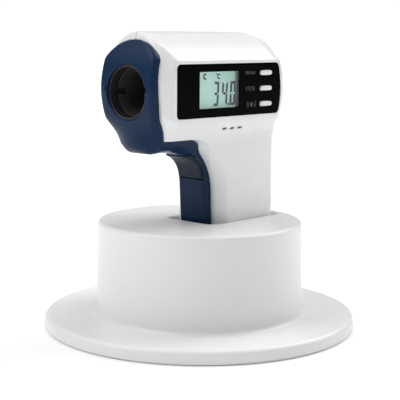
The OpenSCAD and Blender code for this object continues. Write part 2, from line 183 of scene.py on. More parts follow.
def surface(field, xs, ys, zs, passes=4):
    """Quads over the zero surface of field on a grid, with each corner moved onto it."""
    values = field(xs[:, None, None], ys[None, :, None], zs[None, None, :])
    values = np.broadcast_to(values, (len(xs), len(ys), len(zs)))
    inside = values < 0
    corners = [(i, j, k) for i in (0, 1) for j in (0, 1) for k in (0, 1)]
    nx, ny, nz = (len(a) - 1 for a in (xs, ys, zs))
    total = sum(inside[i : i + nx, j : j + ny, k : k + nz].astype(np.int8) for i, j, k in corners)
    cells = np.argwhere((total > 0) & (total < 8))
    index = np.full((nx, ny, nz), -1, np.int64)
    index[tuple(cells.T)] = np.arange(len(cells))
    at = {}
    for c in corners:
        i, j, k = (cells + c).T
        at[c] = (values[i, j, k], np.stack((xs[i], ys[j], zs[k]), 1))
    spot = np.zeros((len(cells), 3))
    hits = np.zeros(len(cells))
    for c in corners:
        for axis in range(3):
            if c[axis]:
                continue
            d = tuple(v + (n == axis) for n, v in enumerate(c))
            f0, p0 = at[c]
            f1, p1 = at[d]
            cross = (f0 < 0) != (f1 < 0)
            t = np.where(cross, f0 / np.where(cross, f0 - f1, 1), 0)
            spot += np.where(cross[:, None], p0 + (p1 - p0) * t[:, None], 0)
            hits += cross
    spot /= hits[:, None]
    quads = []
    for axis in range(3):
        a, b = [n for n in range(3) if n != axis]
        size = [len(xs), len(ys), len(zs)]
        low = [slice(None)] * 3
        high = [slice(None)] * 3
        low[axis], high[axis] = slice(0, size[axis] - 1), slice(1, size[axis])
        change = inside[tuple(low)] != inside[tuple(high)]
        edge = np.argwhere(change)
        keep = (
            (edge[:, a] > 0) & (edge[:, b] > 0)
            & (edge[:, a] < size[a] - 1) & (edge[:, b] < size[b] - 1)
        )
        edge = edge[keep]
        ring = []
        for da, db in ((-1, -1), (0, -1), (0, 0), (-1, 0)):
            cell = edge.copy()
            cell[:, a] += da
            cell[:, b] += db
            ring.append(index[tuple(cell.T)])
        ring = np.stack(ring, 1)
        flip = inside[tuple(edge.T)] == (axis == 1)
        ring[flip] = ring[flip][:, ::-1]
        quads.append(ring)
    quads = np.concatenate(quads)
    h = 0.02
    probes = h * np.array(((1, -1, -1), (-1, -1, 1), (-1, 1, -1), (1, 1, 1)), float)
    for _ in range(passes):
        near = [field(*(spot + p).T) for p in probes]
        slope = sum(f[:, None] * p for f, p in zip(near, probes)) / (4 * h * h)
        size2 = np.maximum((slope * slope).sum(1), 0.05)
        move = -slope * (sum(near) / 4 / size2)[:, None]
        length = np.maximum(np.linalg.norm(move, axis=1), 1e-9)
        spot += move * np.minimum(1, 0.25 / length)[:, None]
    return spot, quads


def add_object(name, points, faces, smooth=None):
    """A mesh object from points in millimetres."""
    mesh = bpy.data.meshes.new(name)
    points = np.asarray(points, float) * MM
    mesh.from_pydata(points.tolist(), [], [list(f) for f in faces])
    mesh.validate()
    mesh.update()
    obj = bpy.data.objects.new(name, mesh)
    scene.collection.objects.link(obj)
    mesh.shade_smooth()
    if smooth is not None:
        mesh.set_sharp_from_angle(angle=math.radians(smooth))
    return obj


def add_field(name, field, xs, ys, zs, passes=4, smooth=50):
    """A mesh object over the zero surface of a field, sampled on a grid."""
    points, quads = surface(field, xs, ys, zs, passes)
    return add_object(name, points, quads.tolist(), smooth)


def face_outwards(obj, weld=False):
    """Turns every face outwards, first welding doubled points where asked."""
    bm = bmesh.new()
    bm.from_mesh(obj.data)
    if weld:
        bmesh.ops.remove_doubles(bm, verts=bm.verts, dist=1e-7)
    bmesh.ops.recalc_face_normals(bm, faces=bm.faces)
    bm.to_mesh(obj.data)
    bm.free()
    return obj


def place(obj, body, nodes, material):
    """Puts a finished piece on its body, in place of the frame's nodes."""
    obj.data.materials.clear()
    obj.data.materials.append(material)
    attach(obj, body)
    if nodes:
        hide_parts(*nodes)
    return obj


# ---------------------------------------------------------------- materials


class Nodes:
    """A short way to write a procedural material on one Principled shader."""

    def __init__(self, name, **sockets):
        self.material = bpy.data.materials.new(name)
        self.material.use_nodes = True
        self.tree = self.material.node_tree
        self.shader = self.tree.nodes["Principled BSDF"]
        for socket, value in sockets.items():
            self.shader.inputs[socket.replace("_", " ")].default_value = value
        self.coords = self.tree.nodes.new("ShaderNodeTexCoord").outputs["Object"]

    def node(self, kind, **values):
        n = self.tree.nodes.new("ShaderNode" + kind)
        for key, value in values.items():
            setattr(n, key, value)
        return n

    def link(self, a, b):
        self.tree.links.new(a, b)

    def noise(self, scale, detail=3.0, rough=0.5, stretch=None):
        """Noise of that many patches a metre, drawn out along stretch."""
        source = self.coords
        if stretch is not None:
            m = self.node("Mapping")
            m.inputs["Scale"].default_value = stretch
            self.link(source, m.inputs["Vector"])
            source = m.outputs["Vector"]
        n = self.node("TexNoise")
        n.inputs["Scale"].default_value = scale
        n.inputs["Detail"].default_value = detail
        n.inputs["Roughness"].default_value = rough
        self.link(source, n.inputs["Vector"])
        return n.outputs["Fac"]

    def span(self, value, low, high, start=0.3, end=0.7):
        """value from start..end brought to low..high."""
        n = self.node("MapRange")
        n.inputs["From Min"].default_value = start
        n.inputs["From Max"].default_value = end
        n.inputs["To Min"].default_value = low
        n.inputs["To Max"].default_value = high
        self.link(value, n.inputs["Value"])
        return n.outputs["Result"]

    def math(self, kind, a, b=None):
        n = self.node("Math", operation=kind)
        for i, v in enumerate((a, b)):
            if v is None:
                continue
            if isinstance(v, (int, float)):
                n.inputs[i].default_value = v
            else:
                self.link(v, n.inputs[i])
        return n.outputs["Value"]

    def colours(self, factor, *stops):
        """A ramp of (position, colour) stops."""
        n = self.node("ValToRGB")
        ramp_ = n.color_ramp
        while len(ramp_.elements) < len(stops):
            ramp_.elements.new(0.5)
        for e, (where, colour) in zip(ramp_.elements, stops):
            e.position = where
            e.color = (*colour, 1)
        self.link(factor, n.inputs["Fac"])
        return n.outputs["Color"]

    def bump(self, height, distance, strength=1.0, under=None):
        n = self.node("Bump")
        n.inputs["Distance"].default_value = distance
        n.inputs["Strength"].default_value = strength
        self.link(height, n.inputs["Height"])
        if under is not None:
            self.link(under, n.inputs["Normal"])
        return n.outputs["Normal"]

    def set(self, socket, value):
        self.link(value, self.shader.inputs[socket])
        return self


def scaled(colour, k):
    """The colour with each channel times k."""
    return tuple(c * k for c in colour)


def moulded(name, colour, rough, grain=0.000012, vary=0.05, scale=2600, **sockets):
    """Moulded plastic: fine spark-eroded grain, faint flow marks and handling marks."""
    m = Nodes(name, **sockets)
    broad = m.noise(28, 4)
    fine = m.noise(scale, 2)
    marks = m.noise(140, 4, 0.6)
    dark, light = scaled(colour, 1 - vary), scaled(colour, 1 + vary * 0.6)
    m.set("Base Color", m.colours(broad, (0.3, dark), (0.7, light)))
    flow = m.span(broad, rough - 0.03, rough + 0.03)
    worn = m.math("ADD", flow, m.span(marks, -0.015, 0.03, 0.45, 0.75))
    m.set("Roughness", m.math("ADD", worn, m.span(fine, -0.015, 0.015)))
    wave = m.bump(broad, 0.0004, 0.12)
    m.set("Normal", m.bump(fine, grain, 0.8, wave))
    return m.material


WHITE = (0.80, 0.805, 0.81)
white_plastic = moulded("white_plastic", WHITE, 0.30, vary=0.012, Coat_Weight=0.15, Coat_Roughness=0.12)
cradle_plastic = moulded("cradle_plastic", (0.80, 0.80, 0.80), 0.36, vary=0.012)
base_plastic = moulded("base_plastic", (0.62, 0.63, 0.64), 0.5)
navy_plastic = moulded(
    "navy_plastic", (0.005, 0.022, 0.062), 0.32, vary=0.08, scale=3200, Specular_IOR_Level=0.13,
)
trigger_plastic = moulded(
    "trigger_plastic", (0.008, 0.018, 0.036), 0.42, vary=0.08, scale=1800, grain=0.00002,
    Specular_IOR_Level=0.2,
)
black_gloss = moulded(
    "black_gloss", (0.0012, 0.0012, 0.0014), 0.09, vary=0.1, grain=0.000001, Specular_IOR_Level=0.015,
)
black_matt = moulded("black_matt", (0.008, 0.008, 0.008), 0.6, vary=0.15, scale=1500, grain=0.00003)
grey_plastic = moulded("grey_plastic", (0.25, 0.26, 0.257), 0.5)
dark_grey = moulded("dark_grey", (0.03, 0.03, 0.031), 0.5, grain=0.00002, scale=1500)
foot_rubber = moulded("foot_rubber", (0.03, 0.03, 0.032), 0.8, grain=0.00004, scale=1200)
zebra_rubber = moulded("zebra_rubber", (0.4, 0.15, 0.2), 0.7)
chip_black = moulded("chip_black", (0.015, 0.015, 0.016), 0.45)
switch_body = moulded("switch_body", (0.05, 0.05, 0.055), 0.5)
backlight_white = moulded("backlight_white", (0.8, 0.82, 0.78), 0.5)
button_plastic = moulded("button_plastic", (0.78, 0.785, 0.79), 0.28, vary=0.02, grain=0.00002, scale=1800)


def metal(name, colour, rough, stretch=(1, 1, 12)):
    """Drawn or plated metal with fine lines and dull spots."""
    m = Nodes(name, Metallic=1.0)
    lines = m.noise(900, 3, 0.6, stretch)
    spots = m.noise(160, 4)
    m.set("Base Color", m.colours(spots, (0.3, scaled(colour, 0.86)), (0.7, colour)))
    drawn = m.span(lines, rough - 0.06, rough + 0.08)
    m.set("Roughness", m.math("ADD", drawn, m.span(spots, -0.03, 0.04)))
    m.set("Normal", m.bump(lines, 0.00001, 0.5))
    return m.material


steel = metal("steel", (0.6, 0.61, 0.62), 0.3)
spring_steel = metal("spring_steel", (0.55, 0.56, 0.57), 0.25)
brass = metal("brass", (0.6, 0.47, 0.25), 0.32)


def circuit_board():
    """Green solder mask with a web of tracks under it."""
    m = Nodes("circuit_board", Coat_Weight=0.4, Coat_Roughness=0.2)
    weave = m.noise(1500, 2)
    traces = m.node("TexVoronoi", feature="DISTANCE_TO_EDGE")
    traces.inputs["Scale"].default_value = 320
    m.link(m.coords, traces.inputs["Vector"])
    copper, mask = (0.03, 0.14, 0.06), (0.012, 0.07, 0.03)
    m.set("Base Color", m.colours(traces.outputs["Distance"], (0.0, copper), (0.12, mask)))
    m.set("Roughness", m.span(weave, 0.35, 0.5))
    m.set("Normal", m.bump(traces.outputs["Distance"], 0.00003, 0.5))
    return m.material


def cell_jacket():
    """The printed sleeve of a battery, in two colours."""
    m = Nodes("cell_jacket", Roughness=0.3)
    soft = m.noise(60, 3)
    wave = m.node("TexWave", bands_direction="Z", wave_type="BANDS")
    wave.inputs["Scale"].default_value = 7
    m.link(m.coords, wave.inputs["Vector"])
    black, gold = (0.02, 0.02, 0.022), (0.5, 0.34, 0.1)
    m.set("Base Color", m.colours(wave.outputs["Fac"], (0.45, black), (0.55, gold)))
    m.set("Roughness", m.span(soft, 0.22, 0.34))
    m.set("Normal", m.bump(soft, 0.00005, 0.3))
    return m.material


def lcd_material():
    """Grey-green display glass over its diffuser, with a faint pixel gloss."""
    m = Nodes("lcd", Roughness=0.35)
    soft = m.noise(45, 3)
    fine = m.noise(2400, 2)
    m.set("Base Color", m.colours(soft, (0.3, (0.40, 0.60, 0.55)), (0.7, (0.47, 0.68, 0.63))))
    m.set("Emission Color", m.colours(soft, (0.3, (0.42, 0.62, 0.57)), (0.7, (0.50, 0.70, 0.66))))
    m.shader.inputs["Emission Strength"].default_value = 0.35
    m.set("Roughness", m.span(fine, 0.3, 0.42))
    m.set("Normal", m.bump(fine, 0.000004, 0.5))
    return m.material


def segment_material():
    """Near-black ink of the display's figures."""
    m = Nodes("segment_ink", Roughness=0.4)
    soft = m.noise(300, 3)
    m.set("Base Color", m.colours(soft, (0.3, (0.008, 0.012, 0.04)), (0.7, (0.014, 0.02, 0.06))))
    m.set("Roughness", m.span(soft, 0.35, 0.5))
    return m.material


def print_material():
    """Faint grey printing on the black panel."""
    m = Nodes("panel_print", Roughness=0.5)
    soft = m.noise(1500, 3)
    m.set("Base Color", m.colours(soft, (0.3, (0.06, 0.062, 0.07)), (0.7, (0.10, 0.103, 0.115))))
    m.set("Roughness", m.span(soft, 0.45, 0.6))
    return m.material


def window_material():
    """Clear acrylic: see-through, with the gloss of its two faces."""
    m = Nodes("clear_window")
    tree = m.tree
    clear = m.node("BsdfTransparent")
    gloss = m.node("BsdfGlossy")
    gloss.inputs["Roughness"].default_value = 0.03
    smear = m.noise(70, 4)
    m.link(m.colours(smear, (0.3, (0.90, 0.93, 0.92)), (0.7, (0.95, 0.97, 0.96))), clear.inputs["Color"])
    m.link(m.span(smear, 0.02, 0.06), gloss.inputs["Roughness"])
    edge = m.node("LayerWeight")
    steep = m.math("POWER", edge.outputs["Facing"], 5.0)
    mix = m.node("MixShader")
    m.link(m.span(steep, 0.03, 1.0, 0.0, 1.0), mix.inputs["Fac"])
    m.link(clear.outputs["BSDF"], mix.inputs[1])
    m.link(gloss.outputs["BSDF"], mix.inputs[2])
    out = [n for n in tree.nodes if n.type == "OUTPUT_MATERIAL"][0]
    m.link(mix.outputs["Shader"], out.inputs["Surface"])
    tree.nodes.remove(m.shader)
    return m.material


board_green = circuit_board()
jacket = cell_jacket()
lcd = lcd_material()
segment_ink = segment_material()
panel_print = print_material()
clear_window = window_material()

SLOT_MATERIALS = {
    "white_plastic": white_plastic, "base_plastic": base_plastic, "navy_plastic": navy_plastic,
    "trigger_plastic": trigger_plastic, "black_gloss": black_gloss, "black_matt": black_matt,
    "grey_plastic": grey_plastic, "dark_grey": dark_grey, "clear_window": clear_window,
    "lcd": lcd, "backlight": backlight_white, "zebra_rubber": zebra_rubber,
    "circuit_board": board_green, "chip": chip_black, "switch_body": switch_body, "steel": steel,
    "spring_steel": spring_steel, "brass": brass, "cell_jacket": jacket, "foot_rubber": foot_rubber,
}
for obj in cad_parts.values():
    for s in obj.material_slots:
        key = s.material.name.split(".")[0] if s.material else ""
        s.material = SLOT_MATERIALS.get(key, dark_grey)

# ---------------------------------------------------------------- white casing

back_profile = outline_field([
    (-150, 300, 0.1), (-150, -50, 0.1), (37.5, -50, 0.1), (37.5, 95.5, 12), (41.1, 105, 10),
    (40.3, 118, 30), (32.6, 138.6, 14), (10, 138.6, 0.05), (10, 300, 0.1),
])
front_profile = outline_field([
    (-16.1, 300, 0.1), (RIM_Y, 117, 38), (RIM_Y, 112, 28), (-41.9, 90, 0.6), (-3, 90, 26),
    (2.93, -50, 0.1), (150, -50, 0.1), (150, 300, 0.1),
])
side_section = outline_field([
    (-100, -50, 0.1), (GRIP_X, -50, 0.1), (GRIP_X, 89.5, 10), (SIDE_X, 97.5, 1.5),
    (SIDE_X, 125, 0.6), (14.5, 131.5, 38), (0, 139.48, 13.3), (-14.5, 131.5, 20), (-100, 53, 0.1),
])
RIM_HALF, RIM_ARCH, RIM_ARCH_Z = 17.5, 25.6, 112.0
RIM_LEAN = 0.155
CHIN_SWEEP = 0.024       # how far the front sweeps back at the chin, over the square of x


def chin(z):
    """How far down the chin a height is, from 0 to 1."""
    return ramp(z, 101, 89)


def chin_sweep(x, z):
    """How far back the front lies at this place of the chin."""
    return CHIN_SWEEP * x * x * chin(z) * ramp(z, 82, 87)


def body_field(x, y, z):
    """The white casing as a solid."""
    ax = np.abs(x)
    f = side_section(ax, z)
    back_r = 4.5 + 5.5 * ramp(z, 88, 98) - 8 * ramp(z, 112, 128) * (1 - ramp(ax, 8, 19))
    f = both(f, back_profile(y, z), back_r)
    front_r = 0.5 + 5.0 * (1 - ramp(z, 72, 87))
    f = both(f, front_profile(y - chin_sweep(x, z), z), front_r)
    rise = np.maximum(z - RIM_ARCH_Z, 0)
    ax = ax + 5.5 * chin(z)
    reach = np.hypot(ax / RIM_HALF, rise / RIM_ARCH)
    slope = np.hypot(ax / RIM_HALF**2, rise / RIM_ARCH**2) / np.maximum(reach, 0.01)
    out = (reach - 1) / np.maximum(slope, 0.01)
    rim_y = RIM_Y + RIM_LEAN * np.maximum(z - 117, 0) + chin_sweep(x, z)
    f = both(f, out * 0.7241 - (y - rim_y) * 0.6897, 0.6)
    return both(f, GRIP_FOOT_Z - z, 1.5)


nose_profile = outline_field([
    (50.8, 300, 0.1), (-51.14, 118.9, 42), (-42.9, 83.5, 6), (-29, 84.3, 12), (-7.1, 79.7, 12.5),
    (1.34, -50, 0.1), (100, -50, 0.1), (100, 300, 0.1),
])
nose_outline = outline_field([
    (-100, -50, 0.1), (8.6, -50, 0.1), (8.6, 84, 7), (13.3, 89.6, 3), (16.1, 98, 10),
    (16.9, 112, 40), (16.0, 128, 0.5), (13, 300, 0.1), (-100, 300, 0.1),
])
face_outline = outline_field([
    (-100, 80, 0.1), (8, 80, 2), (12.5, 90, 8), (16.6, 104, 20), (16.6, 300, 0.1),
    (-100, 300, 0.1),
])
ARCH_Z, ARCH_R = 115.4, 19.2


def nose_section(ax, z):
    """The navy front across its width, arched at the top."""
    arch = np.where(z > ARCH_Z, np.hypot(ax, z - ARCH_Z), ax) - ARCH_R
    return both(nose_outline(ax, z), arch, 0.8)


def nose_field(x, y, z):
    """The navy front as a solid."""
    ax = np.abs(x)
    dome = 0.0014 * x * x * ramp(z, 90, 106)
    front = nose_profile(y - dome - chin_sweep(x, z), z)
    edge_r = 1.5 + 2.0 * ramp(z, 90, 84) * ramp(z, 72, 80) + 0.4 * ramp(z, 78, 70)
    f = both(nose_section(ax, z), front, edge_r)
    bevel = (face_outline(ax, z) + 2.0 * front - 1.5 * np.maximum(y + 36, 0)) / 2.236
    return both(f, bevel, 1.2)


def rod(a, b, r):
    """Distance to a rod's round side, from two coordinates across its axis."""
    return np.hypot(a, b) - r


panel_outline = [
    (-37.7, 100, 2.0), (30.8, 100, 2.6), (32.95, 111.75, 38), (30.8, 123.5, 2.6), (-37.7, 123.5, 2.0),
]
panel_field = outline_field(panel_outline)
door_outline = [(-11.3, 51.2, 2), (11.3, 51.2, 2), (11.3, 92.6, 2), (-11.3, 92.6, 2)]
door_field = outline_field(door_outline)


def casing_field(x, y, z):
    """The hollow white casing, before it is parted along the middle."""
    f = body_field(x, y, z)
    inner = f + WALL
    wall = np.maximum(f, -inner)
    keep = f + 0.5
    for sy, sz, sx in SCREWS:
        boss = np.maximum(rod(y - sy, z - sz, 3.0), np.abs(x) - sx - 3)
        wall = np.minimum(wall, np.maximum(boss, keep))
    panel = panel_field(y, z)
    backing = np.maximum(np.maximum(panel - 1.5, 17.6 - x), keep)
    wall = np.minimum(wall, backing)
    wall = without(wall, np.maximum(panel - 0.12, PANEL_BACK_X - 0.1 - x), 0.25)
    wall = np.maximum(wall, -np.maximum(panel + 1.6, -x))
    mouth = np.maximum(nose_section(np.abs(x), z) + 1.0, np.maximum(y + 39.0, 93 - z))
    wall = np.maximum(wall, -mouth)
    wall = np.maximum(wall, -np.maximum(rod(x, z - STEM_Z, 2.3), y))
    for sy in SOUND_SLOTS:
        slot = np.hypot(np.maximum(np.abs(y - sy) - 1.1, 0), z - SOUND_Z) - 0.5
        wall = without(wall, np.maximum(slot, 10 - x), 0.15)
    for sy, sz, sx in SCREWS:
        r = rod(y - sy, z - sz, 0)
        wall = np.maximum(wall, -np.maximum(r - 1.3, x - 1))
        wall = without(wall, np.maximum(r - 2.4, x + sx - 2.2), 0.2)
        wall = np.maximum(wall, -np.maximum(r - 1.15, np.maximum(-x, x - sx + 3.5)))
    opening = np.maximum(door_field(x, z) - 0.3, 34.0 - y)
    return without(wall, opening, 0.25)


STEP = 0.66
casing_y = grid_line(-45.3, 42.2, STEP, ((-38.2, -37.2, 0.25), (-6.2, 8.8, 0.3)))
casing_z = grid_line(7.6, 138.6, STEP, ((93.2, 95.2, 0.16), (99.4, 100.4, 0.25), (123.0, 125.4, 0.3)))
half_x = grid_line(-0.25, 22.3, STEP, ((-0.25, 0.75, 0.2),))


def left_field(x, y, z):
    """The display side of the casing."""
    return both(casing_field(x, y, z), 0.05 - x, 0.15)


def right_field(x, y, z):
    """The plain side of the casing."""
    return both(casing_field(x, y, z), x + 0.05, 0.15)


left = add_field("left_casing", left_field, half_x, casing_y, casing_z)
place(left, "thermometer", ("left_shell",), white_plastic)
right = add_field("right_casing", right_field, -half_x[::-1], casing_y, casing_z)
place(right, "thermometer", ("right_shell",), white_plastic)

# ---------------------------------------------------------------- navy front and trigger


def throat_band(y, z, r0, r1, a0, a1, r):
    """Part of a ring about the throat's centre, with its corners rounded."""
    dy, dz = y - THROAT[0], z - THROAT[1]
    rho = np.hypot(dy, dz)
    mid, half = math.radians((a0 + a1) / 2), math.radians((a1 - a0) / 2)
    turn = np.abs((np.arctan2(dz, dy) - mid + math.pi) % (2 * math.pi) - math.pi)
    return both(np.abs(rho - (r0 + r1) / 2) - (r1 - r0) / 2, (turn - half) * 12.5, r)


def front_field(x, y, z):
    """The navy shell, cut back to the white casing, with the nose bore and trigger window."""
    nose = nose_field(x, y, z)
    f = without(nose, body_field(x, y, z) - 0.1, 0.1)
    f = np.maximum(f, -np.maximum(nose + 1.8, z - 90))
    f = without(f, rod(x, z - SENSOR_Z, NOSE_BORE_R), 0.45)
    window = np.maximum(throat_band(y, z, 10.5, 15.6, 2.5, 77, 0.1), np.abs(x) - TRIGGER_HALF - 0.3)
    return without(f, window, 0.25)


front = add_field(
    "front_casing", front_field, grid_line(-17.6, 17.8, 0.42),
    grid_line(-48.3, 1.6, 0.42), grid_line(7.9, 135.5, 0.45), passes=5,
)
place(front, "thermometer", ("front_shell",), navy_plastic)


def trigger_field(x, y, z):
    """A curved pad on a stem, with a collar that stops it behind the shell."""
    pad = throat_band(y, z, 11.9, 13.4, 5, 74, 0.3)
    f = both(pad, np.abs(x) - TRIGGER_HALF, 0.35)
    stem = np.maximum(rod(x, z - STEM_Z, 2.0), np.maximum(y + 0.9, -7.4 - y))
    f = np.minimum(f, stem)
    collar = np.maximum(rod(x, z - STEM_Z, 3.0), np.maximum(y + 0.9, -1.8 - y))
    return np.minimum(f, collar)


trigger = add_field(
    "trigger_pad", trigger_field, grid_line(-8.0, 8.0, 0.3), grid_line(-16.2, -0.4, 0.25),
    grid_line(69.6, 83.2, 0.25),
)
place(trigger, "trigger", ("measuring_trigger",), trigger_plastic)


def door_solid(x, y, z):
    """The battery cover, a piece of the casing's back with a finger notch."""
    f = both(body_field(x, y, z), door_field(x, z), 0.3)
    f = np.maximum(f, 35.5 - y)
    notch = np.maximum(rod(y - 38.1, z - 88.6, 1.3), np.abs(x) - 5)
    return without(f, notch, 0.2)


door = add_field(
    "battery_cover", door_solid, grid_line(-11.9, 11.9, 0.4), grid_line(35.1, 38.1, 0.3),
    grid_line(50.7, 93.2, 0.4),
)
place(door, "door", ("battery_door",), white_plastic)

# ---------------------------------------------------------------- lofts and plates

PLATE_SMOOTH = 20        # degrees: keeps the flat face apart from its rounded edge


def loft(name, loops, smooth=40, cap_start=True, cap_end=True):
    """Quads between loops of the same number of points."""
    n = len(loops[0])
    points = [p for loop in loops for p in loop]
    faces = []
    for i in range(len(loops) - 1):
        for j in range(n):
            k = (j + 1) % n
            faces.append((i * n + j, i * n + k, (i + 1) * n + k, (i + 1) * n + j))
    if cap_start:
        faces.append(tuple(reversed(range(n))))
    if cap_end:
        faces.append(tuple(range((len(loops) - 1) * n, len(loops) * n)))
    return face_outwards(add_object(name, points, faces, smooth))


def shrink(corners, e):
    """The rounded outline's corners set in by e, for a convex outline."""
    count = len(corners)
    area = sum(p[0] * q[1] - q[0] * p[1] for p, q in zip(corners, corners[1:] + corners[:1]))
    way = 1.0 if area > 0 else -1.0
    out = []
    for i, (u, v, r) in enumerate(corners):
        p = np.array((u, v), float)
        a = p - np.array(corners[i - 1][:2], float)
        b = np.array(corners[(i + 1) % count][:2], float) - p
        a /= np.linalg.norm(a)
        b /= np.linalg.norm(b)
        na = np.array((-a[1], a[0])) * way
        nb = np.array((-b[1], b[0])) * way
        move = (na + nb) / (1 + float(na @ nb)) * e
        out.append((u + move[0], v + move[1], max(r - e, 0.05)))
    return out


def plate(name, x0, x1, corners, edge):
    """A flat plate between two values of X, with rounded front edges."""

    def ring(e, x):
        return [(x, u, v) for u, v in outline_points(shrink(corners, e))]

    loops = [ring(0, x0), ring(0, x1 - edge)]
    for t in (0.3, 1.0):
        a = t * math.pi / 2
        loops.append(ring(edge * (1 - math.cos(a)), x1 - edge + edge * math.sin(a)))
    n = len(loops[0])
    points = [p for loop in loops for p in loop]
    faces = []
    for i in range(len(loops) - 1):
        for j in range(n):
            k = (j + 1) % n
            faces.append((i * n + j, i * n + k, (i + 1) * n + k, (i + 1) * n + j))
    for base in (0, (len(loops) - 1) * n):
        face = [Vector(p) for p in points[base : base + n]]
        faces += [tuple(base + t for t in tri) for tri in tessellate_polygon([face])]
    return face_outwards(add_object(name, points, faces, PLATE_SMOOTH))


def pill(y, z, length, height, e=0.0):
    """Corners of a pill-shaped outline, set out by e."""
    a, b = length / 2 + e, height / 2 + e
    r = b - 0.01
    return [(y - a, z - b, r), (y + a, z - b, r), (y + a, z + b, r), (y - a, z + b, r)]


def rectangle(y0, z0, y1, z1, r):
    """Corners of a rounded rectangle."""
    return [(y0, z0, r), (y1, z0, r), (y1, z1, r), (y0, z1, r)]


BUTTON_L, BUTTON_H = 8.2, 2.2
view_hole = rectangle(-23.4, 103.9, 2.8, 120.1, 0.6)
view_field = outline_field(view_hole)


def bezel_field(x, y, z):
    """The gloss panel, with its window hole and key holes."""
    f = both(panel_field(y, z), x - PANEL_X, 0.25)
    f = np.maximum(f, PANEL_BACK_X - x)
    f = without(f, view_field(y, z), 0.2)
    for key_z in BUTTON_Z:
        across = np.maximum(np.abs(y - BUTTON_Y) - (BUTTON_L - BUTTON_H) / 2, 0)
        f = without(f, np.hypot(across, z - key_z) - BUTTON_H / 2 - 0.25, 0.2)
    return f


panel = add_field(
    "display_bezel", bezel_field, grid_line(19.7, 21.7, 0.25), grid_line(-38.3, 33.4, 0.36),
    grid_line(99.5, 124.0, 0.36), smooth=35,
)
place(panel, "thermometer", ("display_panel",), black_gloss)
window = plate(
    "display_pane", PANEL_X - 1.2, PANEL_X - 0.1, rectangle(-23.3, 104, 2.7, 120, 0.5), 0.08,
)
place(window, "thermometer", ("display_window",), clear_window)


def resample(ring, n):
    """n points spaced evenly along a closed ring."""
    p = np.array(ring + ring[:1])
    s = np.concatenate(([0], np.cumsum(np.linalg.norm(np.diff(p, axis=0), axis=1))))
    t = np.linspace(0, s[-1], n + 1)[:-1]
    return [tuple(np.interp(t, s, p[:, c])[i] for c in range(3)) for i in range(n)]


def button(name, z, body, node):
    """A domed key with the flange that keeps it behind the panel."""
    top = 21.35
    round_r = 0.5
    loops = [
        (17.4, -0.2), (17.5, 0.0), (18.5, 0.0), (18.5, 0.8), (19.7, 0.8), (19.7, 0.0), (top, 0.0),
    ]
    for t in (0.25, 0.5, 0.75, 1.0):
        a = t * math.pi / 2
        loops.append((top + round_r * math.sin(a), -round_r * (1 - math.cos(a))))
    loops += [(21.93, -0.7), (21.97, -0.9), (22.0, -1.04)]
    rings = []
    for x, e in loops:
        ring = outline_points(pill(BUTTON_Y, z, BUTTON_L, BUTTON_H, e), 0.25)
        rings.append(resample([(x, u, v) for u, v in ring], 64))
    return place(loft(name, rings, 40), body, (node,), button_plastic)


button("mode_key", BUTTON_Z[0], "mode_button", "mode_button")
button("memory_key", BUTTON_Z[1], "memory_button", "memory_button")
button("sound_key", BUTTON_Z[2], "sound_button", "sound_button")

# ---------------------------------------------------------------- display


def prism(points, faces, outline, x0, x1):
    """Adds a small prism on a convex (Y, Z) outline to points and faces."""
    base = len(points)
    n = len(outline)
    points += [(x0, u, v) for u, v in outline] + [(x1, u, v) for u, v in outline]
    faces.append(tuple(base + i for i in reversed(range(n))))
    faces.append(tuple(base + n + i for i in range(n)))
    for i in range(n):
        j = (i + 1) % n
        faces.append((base + i, base + j, base + n + j, base + n + i))


def arc_mark(points, faces, centre, r, t, a0, a1, n, x0, x1):
    """Adds n small prisms along an arc of outer radius r and width t."""
    y, z = centre
    for i in range(n):
        b0 = math.radians(a0 + (a1 - a0) * i / n)
        b1 = math.radians(a0 + (a1 - a0) * (i + 1) / n)
        prism(points, faces, [
            (y + (r - t) * math.cos(b0), z + (r - t) * math.sin(b0)),
            (y + r * math.cos(b0), z + r * math.sin(b0)),
            (y + r * math.cos(b1), z + r * math.sin(b1)),
            (y + (r - t) * math.cos(b1), z + (r - t) * math.sin(b1)),
        ], x0, x1)


SEGMENTS = {"3": "abcdg", "4": "bcfg", "0": "abcdef"}


def digit(points, faces, char, y, z, w, h, t, slant, x0, x1):
    """A seven-segment figure with its lower left corner at (y, z)."""
    g = 0.12
    m = h / 2

    def lean(u, v):
        return (y + u + slant * v, z + v)

    bars = {
        "a": [(g, h), (w - g, h), (w - g - t, h - t), (g + t, h - t)],
        "d": [(g, 0), (g + t, t), (w - g - t, t), (w - g, 0)],
        "g": [(g + t * 0.4, m), (g + t, m + t / 2), (w - g - t, m + t / 2), (w - g - t * 0.4, m),
              (w - g - t, m - t / 2), (g + t, m - t / 2)],
        "f": [(0, h - g), (t, h - g - t), (t, m + g + t / 2), (0, m + g)],
        "e": [(0, g), (0, m - g), (t, m - g - t / 2), (t, g + t)],
        "b": [(w, h - g), (w, m + g), (w - t, m + g + t / 2), (w - t, h - g - t)],
        "c": [(w, g), (w - t, g + t), (w - t, m - g - t / 2), (w, m - g)],
    }
    for key in SEGMENTS[char]:
        prism(points, faces, [lean(u, v) for u, v in bars[key]], x0, x1)


